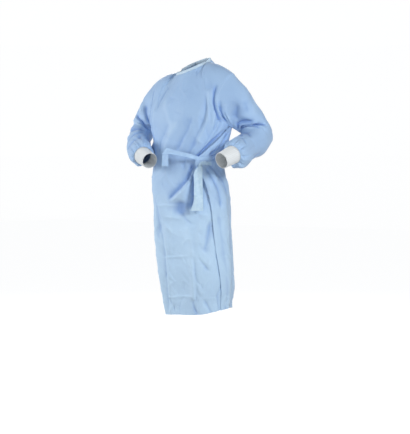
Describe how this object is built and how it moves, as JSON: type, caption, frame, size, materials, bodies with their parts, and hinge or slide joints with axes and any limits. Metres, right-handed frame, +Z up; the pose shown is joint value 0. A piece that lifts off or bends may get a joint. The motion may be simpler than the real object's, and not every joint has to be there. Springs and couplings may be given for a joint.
{
  "type": "surgical gown",
  "caption": "Light blue wrap-round surgical gown, worn closed and hollow, with bent sleeves, ribbed knit cuffs, a bound neck, a back flap and cloth ties at the waist.",
  "frame": {"origin": "on the middle line between the shoulders, at the height where the neck opening meets the shoulder seams, where the wearer holds the gown up", "axes": "+Z up, -Y the front of the gown, +X the wearer's left"},
  "size_m": [0.6903, 0.4302, 1.1577],
  "materials": {
    "gown_cloth": "soft nonwoven, light blue",
    "neck_binding_cloth": "plain binding, pale grey blue",
    "cuff_knit": "ribbed knit, off-white",
    "tie_cloth": "soft nonwoven, pale blue"
  },
  "bodies": {
    "root": {"front_panel": "gown_cloth", "back_panel_left": "gown_cloth", "back_panel_right": "gown_cloth", "sleeve_left": "gown_cloth", "sleeve_right": "gown_cloth", "cuff_left": "cuff_knit", "cuff_right": "cuff_knit", "neck_binding": "neck_binding_cloth", "neck_tab": "neck_binding_cloth", "flap_tie": "tie_cloth", "waist_tie": "tie_cloth"}
  },
  "joints": []
}
